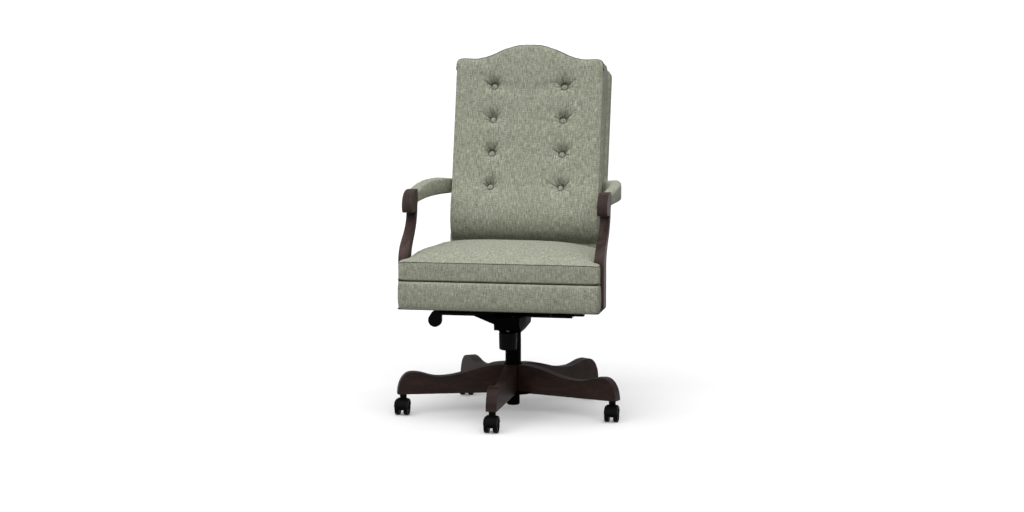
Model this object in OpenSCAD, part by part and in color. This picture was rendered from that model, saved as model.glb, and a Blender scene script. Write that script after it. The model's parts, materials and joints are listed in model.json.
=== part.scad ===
// Swivel office chair with a tufted camelback, upholstered open arms, a tilting
// seat on a gas lift and a carved five-leg base on casters.
// Millimetres. The origin is on the floor under the column; +Z is up, the chair faces -Y.

/* [Base] */
// Distance from the column to each caster stem
caster_reach = 352; // [320:2:380]
// Thickness of each wooden leg
leg_t = 34; // [26:1:36]
// Height of the legs' flat underside above the floor
leg_under = 66; // [64:1:76]
// Height of the legs where they meet the hub
leg_top = 156; // [150:1:170]
// Lowest point of the legs' upper edge
leg_waist = 121; // [110:1:130]
// Highest point of each leg's toe
leg_toe = 136.5; // [130:0.5:148]

/* [Casters] */
// Wheel diameter
wheel_d = 50; // [46:1:52]
// Width across both wheels
caster_w = 42; // [38:1:52]
// Gap between the two wheels of a caster
wheel_gap = 13; // [11:1:16]
// How far the wheel axle trails behind the stem
caster_trail = 12; // [10:1:20]

/* [Gas lift] */
// Outer diameter of the stand tube
tube_d = 50; // [48:1:52]
// Height of the stand tube's top
tube_top = 258; // [250:1:260]
// Diameter of the gas cylinder
gas_d = 28; // [26:1:30]

/* [Tilt mechanism] */
// Height of the tilt axle
axle_z = 333.6; // [330:0.2:336]
// Distance of the tilt axle in front of the column
axle_front = 45; // [42:1:50]
// Outer diameter of the cross tube that holds the torsion spring
spring_tube_d = 40; // [36:1:40]
// Height of the two levers
lever_z = 313; // [312:0.5:314]
// Diameter of the tension knob
knob_d = 58; // [50:1:62]
// Distance of the tension knob in front of the column
knob_front = 90; // [88:1:96]

/* [Seat] */
// Width of the seat box across its front
seat_w = 628; // [600:2:640]
// Width of the seat box across its rear
seat_rear_w = 512; // [508:2:540]
// Distance of the seat's front face in front of the column
seat_front = 273; // [268:1:290]
// Distance of the seat's rear face behind the column
seat_rear = 246; // [244:1:250]
// Height of the seat's underside above the floor
seat_under = 360.7; // [360:0.1:364]
// Height of the upholstered seat box
seat_box_h = 84.7; // [80:0.1:90]
// Height of the seat cushion's border
border_h = 59; // [50:1:70]
// Height of the cushion's crown above its border
crown_h = 35; // [20:1:40]

/* [Back] */
// Angle of the back from the vertical
recline = 13.2; // [10:0.2:16]
// Width of the tufted inner back
back_w = 484; // [460:2:490]
// Width of the outer back
shell_w = 504; // [500:2:508]
// Thickness of the inner back, behind its buttons
inner_t = 75; // [60:1:80]
// Thickness of the outer back
shell_t = 40; // [36:1:44]
// Length of the back up to its shoulders, measured from the seat box along its front
shoulder = 684; // [640:1:700]
// Rise of the camelback crest above the shoulders
crest = 46; // [40:1:60]
// How much lower the outer back is than the inner back
shell_drop = 20; // [16:1:28]
// Distance between the two columns of buttons
tuft_across = 232; // [200:2:250]
// Distance between rows of buttons
tuft_step = 110.9; // [100:0.1:114]

/* [Arms] */
// Distance between the middles of the two arm posts
arm_span = 615.4; // [614:0.1:620]
// Width of each arm post
post_w = 30; // [26:1:32]
// Width of the scroll at the top of each post
scroll_w = 32; // [30:1:36]
// Height of the arm at its scroll
arm_top = 716; // [712:1:720]
// Width of each arm pad
pad_w = 42; // [36:1:46]

/* [Hidden] */
$fn = 48;

linen = [0.56, 0.58, 0.51];
dark_wood = [0.19, 0.13, 0.11];
black = [0.05, 0.05, 0.05];
steel = [0.65, 0.66, 0.68];
raw_wood = [0.72, 0.58, 0.40];
nylon = [0.85, 0.84, 0.78];

run_fit = 0.05;         // radial clearance of every shaft in its hole

// Base and casters
leg_count = 5;
leg_start = -90;        // the first leg points forward
leg_tip = caster_reach + 19;
hub_r = 30;
flange_r = 72;
flange_t = 4;
socket_r = 7.5;
stem_r = 5.5;
stem_top = leg_under + 36;
axle_r = 3;
wheel_r = wheel_d / 2;
hood_r = wheel_r + 4.5;
stem_foot = wheel_r + 14;
wheel_w = (caster_w - wheel_gap) / 2 - 0.8;

// Gas lift
tube_r = tube_d / 2;
tube_wall = 1.5;
tube_foot = 24;         // lower end of the stand tube
tube_neck_r = 21;       // the tube narrows where it passes through the hub
gas_r = gas_d / 2;
gas_top = 304;
gas_foot = 60;
rod_r = 5;
pin_r = 4;
pin_top = lever_z - 4.3;

// Mechanism
sheet = 3;
pan_under = 263;
socket_out = 19;
spring_tube_r = spring_tube_d / 2;
tube_half = 125;        // half the length of the cross tube
bush_l = 12;
axle_d = 16;
plate_under = seat_under - sheet;
bolt_at = 105;          // the mounting bolts sit at plus and minus this on both axes
lever_r = 4;
pivot_x = -53;           // pivot pin of the height lever
pivot_r = 2.5;
sleeve_r = 8;

// Seat
cover_t = 8;
rail_t = 25;
cover_off = 1;          // thickness of the dust cover
knee_y = -120;          // the sides run parallel in front of this and taper behind it
box_top = seat_under + seat_box_h;
frame_top = box_top - 9.5;
cushion_under = box_top + 0.6;
ear_rear = -228;        // rear edge of the cushion's ears, just in front of the posts
neck_half = 286;
crown_y = 15;           // the cushion is highest here

// Back: local frame, x across, y backwards through the back, z up along its front face
back_y = 146.3;
back_z = 447;
back_foot = -30;        // the inner back runs down past this, to the top of the seat box
frame_t = 30;           // thickness of the back frame
stile_w = 32;
tuft_top = 592.9;
tuft_depth = 8;

// Arms
post_x = arm_span / 2;
post_foot = 371;
post_front = -220;
post_rear = -169;
pad_start = -78;
pad_under = 671;
arm_bolt_y = 303;
arm_bolt_z = 697;

// Geometry helpers

function unit(v) = v / norm(v);
function cubic(a, b, c, d, n = 12) =
    [for (i = [0:n]) let (t = i / n, s = 1 - t) s*s*s*a + 3*s*s*t*b + 3*s*t*t*c + t*t*t*d];
function corner(a, b, c, r, n = 5) =
    let (p = b + r * unit(a - b), q = b + r * unit(c - b))
    [for (i = [0:n]) let (t = i / n, s = 1 - t) s*s*p + 2*s*t*b + t*t*q];
function rounded(p, r) =
    let (m = len(p))
    [for (i = [0:m - 1]) each corner(p[(i + m - 1) % m], p[i], p[(i + 1) % m], r)];
function flipped(p) = [for (i = [len(p) - 1:-1:0]) p[i]];
function mirrored(p) = [for (q = flipped(p)) [-q[0], q[1]]];

module along_x(length) {
    rotate([90, 0, 90]) linear_extrude(length, center = true) children();
}
module rod_x(r, x0, x1) {
    translate([x0, 0, 0]) rotate([0, 90, 0]) cylinder(r = r, h = x1 - x0);
}
module both_sides() {
    children();
    mirror([1, 0, 0]) children();
}
module ring(r_out, r_in, z0, z1) {
    translate([0, 0, z0]) difference() {
        cylinder(r = r_out, h = z1 - z0);
        translate([0, 0, -1]) cylinder(r = r_in, h = z1 - z0 + 2);
    }
}

// Base

function leg_angle(i) = leg_start + 360 / leg_count * (i - 1);
module at_leg(i) { rotate([0, 0, leg_angle(i)]) children(); }

// Side view of a leg: a low arch at the hub, a waist and a raised toe
leg_profile = concat(
    [[20, leg_under], [20, leg_top]],
    cubic([30, leg_top], [120, leg_top], [160, leg_waist], [235, leg_waist]),
    cubic([235, leg_waist], [275, leg_waist], [285, leg_toe], [325, leg_toe]),
    cubic([325, leg_toe], [352, leg_toe], [leg_tip, 105], [leg_tip, leg_under])
);

module leg(i) {
    color(dark_wood) at_leg(i) difference() {
        rotate([90, 0, 0]) linear_extrude(leg_t, center = true) polygon(leg_profile);
        cylinder(r = hub_r, h = 400, center = true);
        translate([0, 0, leg_under - 1]) cylinder(r = flange_r, h = flange_t + 1);
        translate([caster_reach, 0, 0]) cylinder(r = socket_r, h = stem_top + 2);
        leg_screw_shapes();
    }
}
module leg_screw_shapes() {
    for (r = [44, 62]) translate([r, 0, leg_under]) {
        cylinder(r = 2.5, h = 34);
        cylinder(r = 4.5, h = 2.5);
    }
}
module base_hub() {
    color(black) difference() {
        union() {
            translate([0, 0, leg_under]) cylinder(r = hub_r, h = leg_top + 1 - leg_under);
            translate([0, 0, leg_under]) cylinder(r = flange_r, h = flange_t);
        }
        stand_tube_form();
        for (i = [1:leg_count]) at_leg(i) leg_screw_shapes();
    }
}
module leg_screws() {
    color(steel) for (i = [1:leg_count]) at_leg(i) leg_screw_shapes();
}
module caster_sockets() {
    color(steel) for (i = [1:leg_count]) at_leg(i) translate([caster_reach, 0, 0])
        difference() {
            ring(socket_r, stem_r + run_fit, leg_under, stem_top + 2);
            translate([0, 0, leg_under - 1]) cylinder(r = stem_r + run_fit, h = 40);
        }
}

// Casters: all of them trail forward, as after rolling the chair backwards

module at_caster(i) {
    a = leg_angle(i);
    translate([caster_reach * cos(a), caster_reach * sin(a), 0]) children();
}
module at_axle() { translate([0, -caster_trail, wheel_r]) children(); }

// Front view of a hood: open below, with rounded upper corners
hood_outline = concat(
    [[caster_w / 2, 4]],
    corner([caster_w / 2, 4], [caster_w / 2, hood_r], [0, hood_r], 13),
    corner([0, hood_r], [-caster_w / 2, hood_r], [-caster_w / 2, 4], 13),
    [[-caster_w / 2, 4]]
);
module caster_hood(i) {
    well = wheel_gap / 2 + 0.6;
    color(black) at_caster(i) difference() {
        union() {
            at_axle() intersection() {
                rod_x(hood_r, -caster_w / 2, caster_w / 2);
                rotate([90, 0, 0]) linear_extrude(100, center = true) polygon(hood_outline);
            }
            at_axle() intersection() {
                rod_x(wheel_r - 3, -wheel_gap / 2, wheel_gap / 2);
                translate([-50, -50, -7]) cube(100);
            }
            translate([0, 0, wheel_r + 10]) cylinder(r = 11, h = leg_under - wheel_r - 11);
        }
        at_axle() both_sides() rod_x(wheel_r + 1.2, well, caster_w);
        at_axle() rod_x(axle_r, -50, 50);
        translate([0, 0, stem_foot]) cylinder(r = stem_r, h = 60);
    }
}
module caster_pins(i) {
    color(steel) at_caster(i) {
        translate([0, 0, stem_foot]) cylinder(r = stem_r, h = stem_top - stem_foot);
        at_axle() rod_x(axle_r, -caster_w / 2 + 2, caster_w / 2 - 2);
    }
}
module caster_wheels(i) {
    inner = wheel_gap / 2 + 0.8;
    color(black) at_caster(i) at_axle() both_sides() difference() {
        rod_x(wheel_r, inner, inner + wheel_w);
        rod_x(axle_r + run_fit, 0, 50);
        difference() {
            rod_x(wheel_r - 5, inner + wheel_w - 3, 50);
            rod_x(7, 0, 50);
        }
    }
}

// Gas lift

module stand_tube_form() {
    rotate_extrude() polygon([
        [0, tube_foot], [tube_neck_r - 3, tube_foot], [tube_neck_r, tube_foot + 3],
        [tube_neck_r, 72], [tube_r, 112], [tube_r, tube_top], [0, tube_top]
    ]);
}
module lift_tube() {
    in_r = tube_r - tube_wall;
    low_r = tube_neck_r - tube_wall;
    color(black) difference() {
        stand_tube_form();
        rotate_extrude() polygon([
            [0, 28], [low_r, 28], [low_r, 72], [in_r, 112], [in_r, tube_top + 1], [0, tube_top + 1]
        ]);
    }
}
module lift_bush() {
    color(nylon) difference() {
        union() {
            translate([0, 0, 200]) cylinder(r = tube_r - tube_wall, h = tube_top - 200);
            translate([0, 0, tube_top]) cylinder(r = tube_r, h = 2.5);
        }
        cylinder(r = gas_r + run_fit, h = 300);
    }
}
module thrust_bearing() {
    color(steel) ring(14, rod_r + run_fit, 28, 36);
}
module piston_rod() {
    color(steel) {
        translate([0, 0, 30]) cylinder(r = rod_r, h = 242);
        translate([0, 0, 36 + run_fit]) cylinder(r = 9, h = 5);
        translate([0, 0, 272]) cylinder(r = gas_r - 2 - run_fit, h = 10);
    }
}
module gas_cylinder() {
    color(black) difference() {
        translate([0, 0, gas_foot]) cylinder(r = gas_r, h = gas_top - gas_foot);
        translate([0, 0, gas_foot + 14]) cylinder(r = gas_r - 2, h = 212);
        cylinder(r = rod_r + run_fit, h = 100);
        translate([0, 0, 280]) cylinder(r = pin_r + run_fit, h = 40);
    }
}
module release_pin() {
    color(steel) translate([0, 0, 291]) cylinder(r = pin_r, h = pin_top - 291);
}

// Tilt mechanism

module column_socket() {
    color(black) ring(socket_out, gas_r, pan_under, gas_top);
}

// The housing is the overlap of its front view, its side view and its plan
module pan_form(inset) {
    front_view = [
        [-52, 330], [-50, 285], [-33, pan_under], [33, pan_under], [50, 285], [52, 330]
    ];
    side_view = [
        [-114, 330], [-114, 294], [-104, 276], [-58, 275], [-56, pan_under],
        [28, pan_under], [42, 285], [46, 330]
    ];
    plan = [[-41, -114], [41, -114], [52, -50], [52, 46], [-52, 46], [-52, -50]];
    shrink = [for (p = front_view) [p[0] - sign(p[0]) * inset, p[1] + inset]];
    shrink_side = [for (p = side_view) [p[0] - sign(p[0] + 35) * inset, p[1] + inset]];
    shrink_plan = [for (p = plan) [p[0] - sign(p[0]) * inset, p[1] - sign(p[1] + 35) * inset]];
    intersection() {
        rotate([90, 0, 0]) linear_extrude(400, center = true) polygon(shrink);
        along_x(400) polygon(shrink_side);
        translate([0, 0, 200]) linear_extrude(200) polygon(shrink_plan);
    }
}
module mech_housing() {
    color(black) difference() {
        union() {
            difference() {
                pan_form(0);
                pan_form(sheet);
                translate([-200, -200, 318]) cube(400);
            }
            translate([0, -knob_front, 276]) cylinder(r = 10, h = 15);
            translate([pivot_x - 7, -10, lever_z - 9]) cube([12, 20, 14]);
            // Gusset under the left half of the cross tube, where the spring is anchored
            translate([0, -axle_front + 3, 0]) rotate([90, 0, 0]) linear_extrude(6)
                polygon([[-49, 286], [-58, 288], [-121, 313], [-121, 318], [-49, 318]]);
        }
        translate([0, 0, pan_under - 1]) cylinder(r = socket_out, h = 40);
        translate([0, -knob_front, 200]) cylinder(r = 5 + run_fit, h = 100);
        translate([0, -axle_front, axle_z]) rod_x(spring_tube_r, -200, 200);
        translate([0, 0, lever_z]) {
            translate([-60, -5, -9]) cube([20, 10, 40]);
            translate([pivot_x, 0, 0]) rotate([90, 0, 0])
                cylinder(r = pivot_r + run_fit, h = 30, center = true);
            rod_x(lever_r + run_fit, 30, 60);
        }
    }
}
module at_tilt_axle() { translate([0, -axle_front, axle_z]) children(); }
module spring_tube() {
    color(black) at_tilt_axle() difference() {
        rod_x(spring_tube_r, -tube_half, tube_half);
        rod_x(spring_tube_r - sheet, -tube_half - 1, tube_half + 1);
    }
}
module tilt_bushes() {
    color(nylon) at_tilt_axle() both_sides() difference() {
        rod_x(spring_tube_r - sheet, tube_half - bush_l, tube_half);
        rod_x(axle_d / 2 + run_fit, 0, 200);
    }
}
module torsion_spring() {
    color(black) at_tilt_axle() difference() {
        rod_x(spring_tube_r - sheet, -tube_half + bush_l, tube_half - bush_l);
        rod_x(axle_d / 2 + run_fit, -200, 200);
    }
}
module tilt_axle() {
    color(steel) at_tilt_axle() rod_x(axle_d / 2, -tube_half - 8, tube_half + 8);
}
module seat_plate() {
    color(black) difference() {
        union() {
            translate([-135, -125, plate_under]) cube([270, 250, sheet]);
            both_sides() translate([tube_half + 1, -axle_front, 0]) {
                translate([0, 0, axle_z]) rod_x(16, 0, 5);
                translate([0, -16, axle_z]) cube([5, 32, plate_under + 1 - axle_z]);
            }
        }
        at_tilt_axle() rod_x(axle_d / 2, -200, 200);
        at_bolts() cylinder(r = 4, h = 500);
    }
}
module at_bolts() {
    for (x = [-bolt_at, bolt_at], y = [-bolt_at, bolt_at]) translate([x, y, 0]) children();
}
module tension_screw() {
    color(steel) translate([0, -knob_front, 222]) cylinder(r = 5, h = 82);
}
module tension_knob() {
    r = knob_d / 2;
    color(black) translate([0, -knob_front, 0]) difference() {
        rotate_extrude() polygon(concat(
            [[0, 272], [r - 4, 272], [r, 268]],
            cubic([r - 1, 222], [r - 1, 216], [r - 3, 214], [r - 9, 214], 5),
            [[0, 214]]
        ));
        translate([0, 0, 222]) cylinder(r = 5, h = 82);
        for (a = [0:30:330]) rotate([0, 0, a + 15]) translate([r + 3.5, 0, 200]) cylinder(r = 5, h = 66);
    }
}
module height_lever() {
    color(steel) translate([0, 0, lever_z]) {
        rod_x(lever_r, -236, 3);
        translate([pivot_x, 0, 0]) rotate([90, 0, 0]) cylinder(r = pivot_r, h = 18, center = true);
    }
}
module height_grip() {
    color(black) difference() {
        union() {
            translate([0, 0, lever_z]) rod_x(sleeve_r, -240, -66);
            translate([0, 7, 0]) rotate([90, 0, 0]) linear_extrude(14) hull() {
                translate([-254, 289]) circle(r = 22);
                translate([-250, 303]) circle(r = 18);
            }
        }
        translate([0, 0, lever_z]) rod_x(lever_r, -236, 0);
    }
}
module lock_lever() {
    color(steel) translate([0, 0, lever_z]) {
        rod_x(lever_r, 21, 196);
        translate([0, -4, 0]) rod_x(7, 24, 33);
    }
}
module lock_grip() {
    color(black) difference() {
        union() {
            translate([0, 0, lever_z]) rod_x(sleeve_r, 58, 190);
            translate([186, -13, lever_z + 0.5]) linear_extrude(6)
                polygon(rounded([[0, 0], [43, 0], [43, 26], [0, 26]], 6));
        }
        translate([0, 0, lever_z]) rod_x(lever_r, 0, 196);
    }
}

// Seat

// Plan of the seat box, drawn inwards by i: parallel at the front, tapered behind
function seat_plan(i) = rounded([
    [-seat_w / 2 + i, -seat_front + i], [seat_w / 2 - i, -seat_front + i],
    [seat_w / 2 - i, knee_y], [seat_rear_w / 2 - i, seat_rear - i],
    [-seat_rear_w / 2 + i, seat_rear - i], [-seat_w / 2 + i, knee_y]
], 9);
module post_housing() {
    both_sides() translate([post_x - post_w / 2, post_front, post_foot])
        cube([60, post_rear - post_front, 200]);
}
module stile_housing() {
    both_sides() translate([back_w / 2 - stile_w - 6, 200, seat_under + cover_off])
        cube([stile_w + 1, seat_rear - cover_t - 200, 200]);
}
module mount_bolts() {
    color(steel) at_bolts() {
        translate([0, 0, plate_under - 5]) cylinder(r = 6.5, h = 5);
        translate([0, 0, plate_under]) cylinder(r = 4, h = 26);
    }
}
module dust_cover() {
    color(black) translate([0, 0, seat_under]) difference() {
        linear_extrude(cover_off) polygon(seat_plan(cover_t));
        at_bolts() cylinder(r = 4, h = 10, center = true);
    }
}
module seat_frame() {
    under = seat_under + cover_off;
    color(raw_wood) difference() {
        union() {
            translate([0, 0, under]) linear_extrude(frame_top - under) difference() {
                polygon(seat_plan(cover_t));
                polygon(seat_plan(cover_t + rail_t));
            }
            both_sides() translate([bolt_at - 25, -seat_front + 30, under])
                cube([50, seat_front + seat_rear - 60, 24]);
        }
        at_bolts() translate([0, 0, plate_under]) cylinder(r = 4, h = 26);
        post_housing();
        stile_housing();
        arm_bolt_shapes();
    }
}
module seat_deck() {
    color(raw_wood) translate([0, 0, frame_top]) linear_extrude(box_top - frame_top)
        difference() {
            polygon(seat_plan(cover_t));
            both_sides() translate([post_x - post_w / 2 - 0.5, post_front])
                square([60, post_rear - post_front]);
            translate([-250, 199]) square([500, 80]);
        }
}
module seat_box_cover() {
    color(linen) difference() {
        translate([0, 0, seat_under]) linear_extrude(seat_box_h) difference() {
            polygon(seat_plan(0));
            polygon(seat_plan(cover_t));
        }
        post_housing();
    }
}
// Radius of an arch that rises by rise over a half span of half
function arch_r(half, rise) = (half * half + rise * rise) / (2 * rise);
// T-shaped cushion: its ears reach out in front of the arm posts, its crown arches both ways
module seat_cushion() {
    front = -seat_front + 8;
    rear = back_y - tuft_depth - 2;
    ear_half = seat_w / 2;
    rear_half = 258;
    plan = [
        [-ear_half, front], [ear_half, front], [ear_half, ear_rear], [neck_half, ear_rear + 2],
        [neck_half, knee_y], [rear_half, rear], [-rear_half, rear], [-neck_half, knee_y],
        [-neck_half, ear_rear + 2], [-ear_half, ear_rear]
    ];
    across = arch_r(ear_half, crown_h);
    along = arch_r(crown_y - front, crown_h);
    top = cushion_under + border_h + crown_h;
    color(linen) intersection() {
        translate([0, 0, cushion_under]) linear_extrude(border_h + crown_h) polygon(rounded(plan, 8));
        translate([0, 0, top - across]) rotate([90, 0, 0])
            cylinder(r = across, h = 1000, center = true, $fn = 720);
        translate([0, crown_y, top - along]) rotate([0, 90, 0])
            cylinder(r = along, h = 1000, center = true, $fn = 720);
    }
}

// Back

module on_back() { translate([0, back_y, back_z]) rotate([-recline, 0, 0]) children(); }
// Puts a front-view outline on the back, from depth y0 to depth y1
module slab(y0, y1) {
    translate([0, y1, 0]) rotate([90, 0, 0]) linear_extrude(y1 - y0) children();
}
// Camelback outline: straight sides, level shoulders and a raised crest
function camel_rise(top, rise) =
    cubic([-180, top], [-122, top], [-86, top + rise], [0, top + rise], 10);
function camel(half, foot, top, rise) = concat(
    corner([-half, foot], [-half, top], [0, top], 24),
    camel_rise(top, rise),
    mirrored(camel_rise(top, rise)),
    corner([0, top], [half, top], [half, foot], 24),
    [[half, foot], [-half, foot]]
);
shell_top = shoulder - shell_drop;
wall = 12;
module above_seat() {
    intersection() {
        children();
        translate([-500, -500, box_top + 0.8]) cube([1000, 1200, 1200]);
    }
}
module window_outline() {
    frame_half = shell_w / 2 - wall;
    in_half = frame_half - stile_w;
    for (z = [110, 390]) translate([-in_half, z]) square([2 * in_half, 225]);
}
module back_frame() {
    foot = -85;
    half = shell_w / 2 - wall;
    color(raw_wood) difference() {
        union() {
            above_seat() on_back() slab(inner_t, inner_t + frame_t) difference() {
                polygon(camel(half, foot, shell_top - wall, crest));
                window_outline();
            }
            // Feet of the two stiles, housed in the corners of the seat frame
            intersection() {
                on_back() slab(inner_t, inner_t + frame_t) both_sides()
                    translate([half - stile_w - 5, foot]) square([stile_w, 140]);
                stile_housing();
            }
        }
        arm_bolt_shapes();
    }
}
module back_shell() {
    half = shell_w / 2;
    color(linen) difference() {
        above_seat() on_back() difference() {
            slab(inner_t, inner_t + shell_t) polygon(camel(half, -60, shell_top, crest));
            slab(inner_t - 1, inner_t + frame_t)
                polygon(camel(half - wall, -85, shell_top - wall, crest));
        }
        arm_bolt_shapes();
    }
}
module at_buttons() {
    for (x = [-tuft_across / 2, tuft_across / 2], row = [0:3])
        translate([x, 0, tuft_top - row * tuft_step]) rotate([90, 0, 0]) children();
}
module back_cushion() {
    color(linen) difference() {
        union() {
            above_seat() on_back() slab(-tuft_depth, inner_t)
                polygon(camel(back_w / 2, back_foot, shoulder, crest));
            on_back() slab(inner_t - 1, inner_t + frame_t) intersection() {
                window_outline();
                translate([-250, 100]) square([500, 540]);
            }
        }
        on_back() at_buttons() cylinder(r = 13, h = 20);
    }
}
module back_buttons() {
    color(linen) on_back() at_buttons() intersection() {
        cylinder(r = 8, h = 5);
        translate([0, 0, -4]) sphere(r = 9.5);
    }
}

// Arms

// Side view of a post: an S that steps back as it rises, ending in a scroll that curls forward
post_profile = concat(
    [[post_front, post_foot]],
    cubic([post_front, 505], [post_front, 572], [-108, 572], [-104, 647]),
    cubic([-148, 647], [-158, 648], [-163, 655], [-163, 668], 6),
    cubic([-163, 668], [-163, 695], [-140, arm_top], [-92, arm_top]),
    [[pad_start, arm_top], [pad_start, 655]],
    flipped(cubic([post_rear, 500], [post_rear, 560], [-88, 575], [pad_start, 655])),
    [[post_rear, post_foot]]
);
scroll_profile = concat(
    [[-100, 647]],
    cubic([-148, 647], [-158, 648], [-163, 655], [-163, 668], 6),
    cubic([-163, 668], [-163, 695], [-140, arm_top], [-92, arm_top]),
    [[pad_start, arm_top], [pad_start, 672]]
);
module arm_post() {
    color(dark_wood) difference() {
        translate([post_x, 0, 0]) {
            along_x(post_w) polygon(post_profile);
            along_x(scroll_w) polygon(scroll_profile);
        }
        arm_bolt_shapes();
    }
}
module arm_post_right() { arm_post(); }
module arm_post_left() { mirror([1, 0, 0]) arm_post(); }

// Plan of the arm: it bows outwards from the scroll and swings in to the side of the back
arm_path = cubic([post_x, pad_start], [312, 40], [330, 190], [246, 300], 18);
function path_normal(i) =
    let (a = arm_path[max(i - 1, 0)], b = arm_path[min(i + 1, len(arm_path) - 1)], t = unit(b - a))
    i == 0 ? [1, 0] : [t[1], -t[0]];
function band(w) = concat(
    [for (i = [0:len(arm_path) - 1]) arm_path[i] + w / 2 * path_normal(i)],
    [for (i = [len(arm_path) - 1:-1:0]) arm_path[i] - w / 2 * path_normal(i)]
);
module arm_sweep(w, z0, side_view) {
    intersection() {
        translate([0, 0, z0]) linear_extrude(100) polygon(band(w));
        along_x(2000) polygon(side_view);
        translate([shell_w / 2 + 0.3, -200, 0]) cube([200, 600, 1000]);
    }
}
module arm_rail() {
    arm_sweep(20, 680, [[-200, 680], [400, 680], [400, 702], [-200, 702]]);
}
module arm_rails() {
    color(raw_wood) both_sides() difference() {
        arm_rail();
        arm_bolt_shapes();
    }
}
module arm_pad() {
    color(linen) difference() {
        arm_sweep(pad_w, pad_under, concat(
            [[pad_start, pad_under], [pad_start, arm_top - 2]],
            cubic([pad_start, arm_top - 2], [60, 724], [120, 732], [220, 730], 6),
            [[330, 716], [330, pad_under]]
        ));
        arm_rail();
        arm_bolt_shapes();
    }
}
module arm_pad_right() { arm_pad(); }
module arm_pad_left() { mirror([1, 0, 0]) arm_pad(); }
module arm_bolt_shapes() {
    both_sides() {
        for (z = [388, 418]) translate([0, (post_front + post_rear) / 2, z]) {
            rod_x(3, post_x - post_w / 2 - 14, post_x + 6);
        }
        translate([0, arm_bolt_y, arm_bolt_z]) rod_x(3, shell_w / 2 - wall - 24, shell_w / 2 + 12);
        translate([post_x, pad_start - 24, 691]) rotate([-90, 0, 0]) cylinder(r = 3, h = 54);
    }
}
module arm_bolts() { color(steel) arm_bolt_shapes(); }

leg(1);  // leg_1
leg(2);  // leg_2
leg(3);  // leg_3
leg(4);  // leg_4
leg(5);  // leg_5
base_hub();
leg_screws();
caster_sockets();
caster_hood(1);  // caster_hood_1
caster_hood(2);  // caster_hood_2
caster_hood(3);  // caster_hood_3
caster_hood(4);  // caster_hood_4
caster_hood(5);  // caster_hood_5
caster_pins(1);  // caster_pins_1
caster_pins(2);  // caster_pins_2
caster_pins(3);  // caster_pins_3
caster_pins(4);  // caster_pins_4
caster_pins(5);  // caster_pins_5
caster_wheels(1);  // caster_wheels_1
caster_wheels(2);  // caster_wheels_2
caster_wheels(3);  // caster_wheels_3
caster_wheels(4);  // caster_wheels_4
caster_wheels(5);  // caster_wheels_5
lift_tube();
lift_bush();
thrust_bearing();
piston_rod();
gas_cylinder();
release_pin();
column_socket();
mech_housing();
spring_tube();
tilt_bushes();
torsion_spring();
tilt_axle();
seat_plate();
tension_screw();
tension_knob();
height_lever();
height_grip();
lock_lever();
lock_grip();
mount_bolts();
dust_cover();
seat_frame();
seat_deck();
seat_box_cover();
seat_cushion();
back_frame();
back_shell();
back_cushion();
back_buttons();
arm_post_left();
arm_post_right();
arm_rails();
arm_pad_left();
arm_pad_right();
arm_bolts();
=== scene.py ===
"""Looks of the tufted swivel office chair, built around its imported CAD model."""

import json
import math
import random

import bmesh
import bpy
import numpy as np
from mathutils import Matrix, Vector
from mathutils.bvhtree import BVHTree


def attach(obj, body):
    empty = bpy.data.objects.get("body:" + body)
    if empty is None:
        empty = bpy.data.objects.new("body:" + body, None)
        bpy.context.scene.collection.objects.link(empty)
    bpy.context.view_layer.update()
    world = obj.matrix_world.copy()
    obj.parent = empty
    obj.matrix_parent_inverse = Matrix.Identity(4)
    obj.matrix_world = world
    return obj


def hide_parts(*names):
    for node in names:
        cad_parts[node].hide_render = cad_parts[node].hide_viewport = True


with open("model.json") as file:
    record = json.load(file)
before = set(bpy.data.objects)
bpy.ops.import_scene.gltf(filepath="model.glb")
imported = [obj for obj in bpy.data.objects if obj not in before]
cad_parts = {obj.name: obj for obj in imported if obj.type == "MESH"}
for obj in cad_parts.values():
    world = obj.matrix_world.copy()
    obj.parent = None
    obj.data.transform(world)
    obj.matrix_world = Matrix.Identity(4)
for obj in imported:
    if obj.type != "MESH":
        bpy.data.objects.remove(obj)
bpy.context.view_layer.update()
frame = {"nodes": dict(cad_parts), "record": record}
nodes = frame["nodes"]

# ---------------------------------------------------------------- CAD sizes, in metres

SEAT_W, SEAT_REAR_W = 0.628, 0.512          # seat box across its front and its rear
SEAT_FRONT, SEAT_REAR, KNEE_Y = -0.273, 0.246, -0.120
SEAT_UNDER, BOX_TOP = 0.3607, 0.4454
CUSHION_FRONT, CUSHION_REAR, EAR_REAR = -0.265, 0.1363, -0.228
CUSHION_UNDER, BORDER_TOP, CROWN_TOP, CROWN_Y = 0.446, 0.505, 0.540, 0.015
POST_X, POST_W, POST_FRONT, POST_REAR, POST_FOOT = 0.3077, 0.030, -0.220, -0.169, 0.371
ARM_TOP, PAD_START, PAD_W = 0.716, -0.078, 0.042
RECLINE = math.radians(13.2)
BACK_Y, BACK_Z = 0.1463, 0.447              # origin of the back's own frame
BACK_W, SHELL_W, INNER_T, SHELL_T = 0.484, 0.504, 0.075, 0.040
SHOULDER, CREST, SHELL_DROP = 0.684, 0.046, 0.020
TUFT_X, TUFT_TOP, TUFT_STEP, TUFT_ROWS = 0.116, 0.5929, 0.1109, 4
BUTTONS = [(x, TUFT_TOP - row * TUFT_STEP) for x in (-TUFT_X, TUFT_X) for row in range(TUFT_ROWS)]

# ---------------------------------------------------------------- sizes of the soft pieces

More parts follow.
